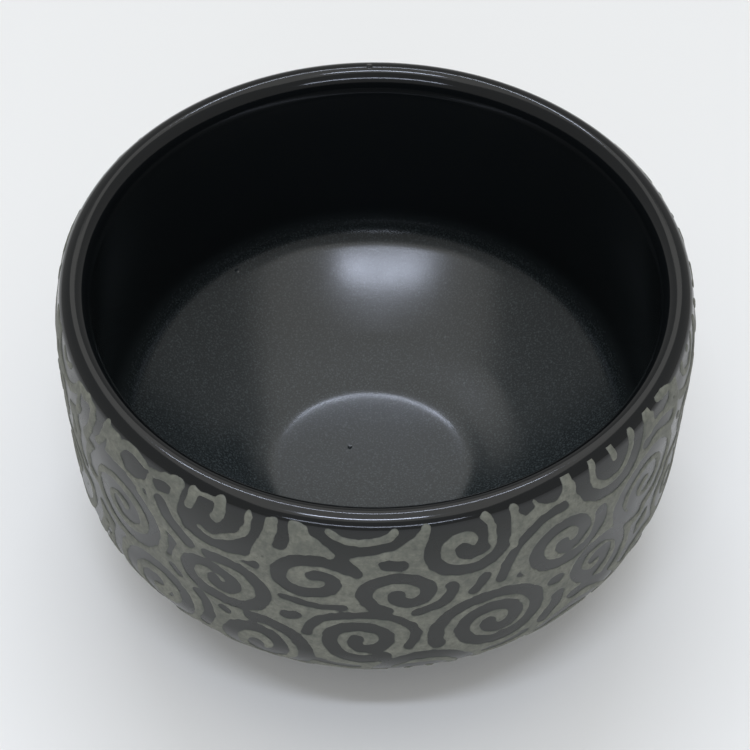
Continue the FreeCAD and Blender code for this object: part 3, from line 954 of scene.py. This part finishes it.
def draw_spirals(columns, rows, top, low):
    """The sheet with the whole pattern: millimetres from each place to the nearest black edge,
    positive in the slip. The wavering edges are those of a hand-held brush."""
    s = slip_sizes()
    stroke, gap = s.stroke / MM, s.gap / MM
    chance = random.Random(s.seed)
    sheet = Sheet(columns, rows, top, low)
    for centre, start, reaches, end, hand in FRONT_COILS:
        sheet.wax(coil_line(on_sheet([centre])[0], start, reaches, end, hand), stroke)
    for half_width, places in FRONT_STROKES:
        sheet.wax(stroke_line(places), half_width)
    for places in LIP_FIELDS:
        sheet.wax_field(on_sheet(places))
    thinner = stroke * SPARE_COIL_THINNER
    for x, y, size in spare_circles(front_circles(stroke), gap, chance):
        sheet.wax(spare_coil(x, y, size, thinner, gap, chance), thinner)
    band = s.lip_band / MM + 0.35 * sheet.waver(5, chance)
    sheet.far = np.minimum(sheet.far, sheet.down - band)
    fill_gaps(sheet, thinner, gap)
    for half_width, places in SLIP_LINES:
        sheet.trail(stroke_line(places), half_width)
    end = s.lower_edge / MM + 1.1 * sheet.waver(11, chance) + 0.4 * sheet.waver(3, chance)
    sheet.far = np.minimum(sheet.far, end - sheet.down)
    sheet.soften(1)
    sheet.far += 0.17 * sheet.waver(1.5, chance) + 0.12 * sheet.waver(0.85, chance)
    return sheet


def without_pinches(kept):
    """Drops the grid points where two faces of the net would meet only at a corner."""
    ring = kept[:, :-1].copy()
    while True:
        there = ring & np.roll(ring, -1, 1)
        faces = np.pad(there[:-1] & there[1:], ((1, 1), (0, 0)))
        low_right, high_right = faces[:-1], faces[1:]
        low_left, high_left = np.roll(low_right, 1, 1), np.roll(high_right, 1, 1)
        rising = low_left & high_right & ~low_right & ~high_left
        falling = low_right & high_left & ~low_left & ~high_right
        if not (rising | falling).any():
            return np.concatenate([ring, ring[:, :1]], 1)
        ring &= ~(rising | falling)


class BOWL_OT_slip_net(bpy.types.Operator):
    """Lays the net of grey slip around the bowl, open where the spirals show black"""

    bl_idname = "bowl.slip_net"
    bl_label = "Slip net"

    def execute(self, context):
        s = slip_sizes()
        outline = outside_outline()
        run_down = lengths(outline)
        top, low = NET_HEAD, s.lower_edge + NET_HEM
        columns = round(ROUND * MM / s.cell)
        rows = round((low - top) / s.cell)
        bpy.ops.object.select_all(action="DESELECT")
        bpy.ops.mesh.primitive_grid_add(x_subdivisions=columns, y_subdivisions=rows, size=2)
        piece = bpy.context.object
        piece.name = "slip_net"
        piece.data.name = "slip_net"
        sheet = draw_spirals(columns, rows, top / MM, low / MM)
        flat = read_points(piece)
        column = np.rint((flat[:, 0] + 1) / 2 * columns).astype(int)
        row = np.rint((flat[:, 1] + 1) / 2 * rows).astype(int)
        cover = sheet.far[row, column] * MM
        turn = sheet.across[row, column] / SHEET_RADIUS
        path, normals = np.array(outline), outward(outline, 1)
        chance = random.Random(s.seed + 1)
        uneven = 1 + 0.12 * sheet.waver(6, chance)[row, column]
        height = s.build * uneven * np.tanh(1.3 * cover / s.edge)
        down = sheet.down[row, column] * MM + s.start
        radius, rise = (np.interp(down, run_down, path[:, side])
                        + height * np.interp(down, run_down, normals[:, side]) for side in (0, 1))
        wrapped = np.stack([radius * np.sin(turn), -radius * np.cos(turn), rise], 1)
        write_points(piece, hand_of_the_potter(wrapped))
        layer = piece.data.attributes.new("cover", "FLOAT", "POINT")
        layer.data.foreach_set("value", (cover / MM).astype(np.float32))
        pick_only(piece)
        bpy.ops.object.mode_set(mode="EDIT")
        bpy.ops.mesh.select_mode(type="VERT")
        bpy.ops.mesh.select_all(action="DESELECT")
        bpy.ops.object.mode_set(mode="OBJECT")
        kept = without_pinches(sheet.far >= -NET_SKIRT)
        piece.data.vertices.foreach_set("select", ~kept[row, column])
        bpy.ops.object.mode_set(mode="EDIT")
        bpy.ops.mesh.delete(type="VERT")
        bpy.ops.mesh.select_all(action="SELECT")
        bpy.ops.mesh.remove_doubles(threshold=WELD)
        bpy.ops.mesh.delete_loose(use_verts=True, use_edges=True, use_faces=False)
        bpy.ops.object.mode_set(mode="OBJECT")
        piece.vertex_groups.new(name="hidden")
        thick = piece.modifiers.new("Thickness", "SOLIDIFY")
        thick.thickness = s.depth
        thick.offset = -1
        thick.shell_vertex_group = "hidden"
        bpy.ops.object.modifier_apply(modifier=thick.name)
        triangles = sum(len(face.vertices) - 2 for face in piece.data.polygons)
        if triangles > NET_TRIANGLES:
            fewer = piece.modifiers.new("Fewer faces", "DECIMATE")
            fewer.ratio = NET_TRIANGLES / triangles
            fewer.vertex_group = "hidden"
            fewer.vertex_group_factor = 4.0
            bpy.ops.object.modifier_apply(modifier=fewer.name)
        hand_in(piece, matt_grey_slip, "grey_slip", "spiral_slip", angle=70)
        return {"FINISHED"}


# ---- Stage ----

# Lamps: name, place, what it faces, width and length, all in metres, power in watts and colour.
LAMPS = [
    ("ceiling_lamp", (-0.06, -0.465, 1.32), (-0.06, 0, 0.05), (0.55, 0.06), 4.6, "#dfe9ff"),
    ("back_lamp", (-0.05, 0.56, 1.30), (-0.05, 0, 0.05), (0.7, 0.05), 4.0, "#dfe9ff"),
    ("front_lamp", (0.0, -0.62, 0.30), (0, 0, 0.06), (0.6, 0.02), 0.9, "#dfe9ff"),
    ("softbox", (0.0, 0.15, 1.40), (0, 0.15, 0), (1.6, 2.3), 10.5, "#fffefa"),
]
ROOM_COLOUR, ROOM_STRENGTH = "#f6f6f4", 0.45
FLOOR_RADIUS, FLOOR_SIDES = 3.0, 96

# Where the camera stands, how far it looks down and leans, in degrees, and its lens in mm.
CAMERA_PLACE = (0, -0.2307, 0.3177)
CAMERA_DOWN, CAMERA_LEAN = 50.1, 0.3
CAMERA_SENSOR, CAMERA_LENS = 36, 86.4


class BOWL_OT_stage(bpy.types.Operator):
    """Lays the pale floor, hangs the lamps and sets up the camera"""

    bl_idname = "bowl.stage"
    bl_label = "Stage"

    def execute(self, context):
        bpy.ops.object.select_all(action="DESELECT")
        bpy.ops.mesh.primitive_circle_add(vertices=FLOOR_SIDES, radius=FLOOR_RADIUS,
                                          fill_type="NGON", location=(0, 0, 0))
        floor = context.object
        floor.name = "floor"
        finish_with(floor, matt_paper_floor)
        for name, place, target, size, power, tint in LAMPS:
            self.lamp(name, place, target, size, power, tint)
        sky = bpy.data.worlds.new("pale_room")
        context.scene.world = sky
        sky.use_nodes = True
        room = sky.node_tree.nodes["Background"]
        room.inputs["Color"].default_value = srgb(ROOM_COLOUR)
        room.inputs["Strength"].default_value = ROOM_STRENGTH
        tilt = Matrix.Rotation(math.radians(90 - CAMERA_DOWN), 3, "X")
        facing = tilt @ Matrix.Rotation(math.radians(CAMERA_LEAN), 3, "Z")
        bpy.ops.object.camera_add(location=CAMERA_PLACE, rotation=facing.to_euler())
        camera = context.object
        camera.name = "camera"
        camera.data.sensor_width = CAMERA_SENSOR
        camera.data.lens = CAMERA_LENS
        camera.data.clip_start = 0.01
        context.scene.camera = camera
        context.scene.view_settings.view_transform = "Standard"
        return {"FINISHED"}

    def lamp(self, name, place, target, size, power, tint):
        bpy.ops.object.light_add(type="AREA", location=place)
        lamp = bpy.context.object
        lamp.name = name
        lamp.data.shape = "RECTANGLE"
        lamp.data.size, lamp.data.size_y = size
        lamp.data.energy = power
        lamp.data.color = srgb(tint)[:3]
        aim = Vector(target) - Vector(place)
        lamp.rotation_euler = aim.to_track_quat("-Z", "Y").to_euler()


class BOWL_PT_panel(bpy.types.Panel):
    """Sizes, colours and the steps of making the bowl"""

    bl_label = "Matcha bowl"
    bl_idname = "BOWL_PT_panel"
    bl_space_type = "VIEW_3D"
    bl_region_type = "UI"
    bl_category = "Bowl"

    def draw(self, context):
        layout = self.layout
        for group in (context.scene.bowl_sizes, context.scene.slip_sizes, context.scene.bowl_colours):
            box = layout.box()
            for name in group.__annotations__:
                box.prop(group, name)
        for operator in STEPS:
            layout.operator(operator.bl_idname)


GROUPS = {"bowl_sizes": BowlSizes, "slip_sizes": SlipSizes, "bowl_colours": BowlColours}
STEPS = [BOWL_OT_stage, BOWL_OT_clay_body, BOWL_OT_bare_foot, BOWL_OT_glazed_inside,
         BOWL_OT_glazed_outside, BOWL_OT_glazed_lip, BOWL_OT_slip_net]


def register():
    for group in GROUPS.values():
        bpy.utils.register_class(group)
    for name, group in GROUPS.items():
        setattr(bpy.types.Scene, name, PointerProperty(type=group))
    for operator in STEPS:
        bpy.utils.register_class(operator)
    bpy.utils.register_class(BOWL_PT_panel)


def unregister():
    bpy.utils.unregister_class(BOWL_PT_panel)
    for operator in reversed(STEPS):
        bpy.utils.unregister_class(operator)
    for name in GROUPS:
        delattr(bpy.types.Scene, name)
    for group in reversed(GROUPS.values()):
        bpy.utils.unregister_class(group)


def main():
    register()
    bpy.ops.bowl.stage()
    bpy.ops.bowl.clay_body()
    bpy.ops.bowl.bare_foot()
    bpy.ops.bowl.glazed_inside()
    bpy.ops.bowl.glazed_outside()
    bpy.ops.bowl.glazed_lip()
    bpy.ops.bowl.slip_net()


if __name__ == "__main__":
    main()
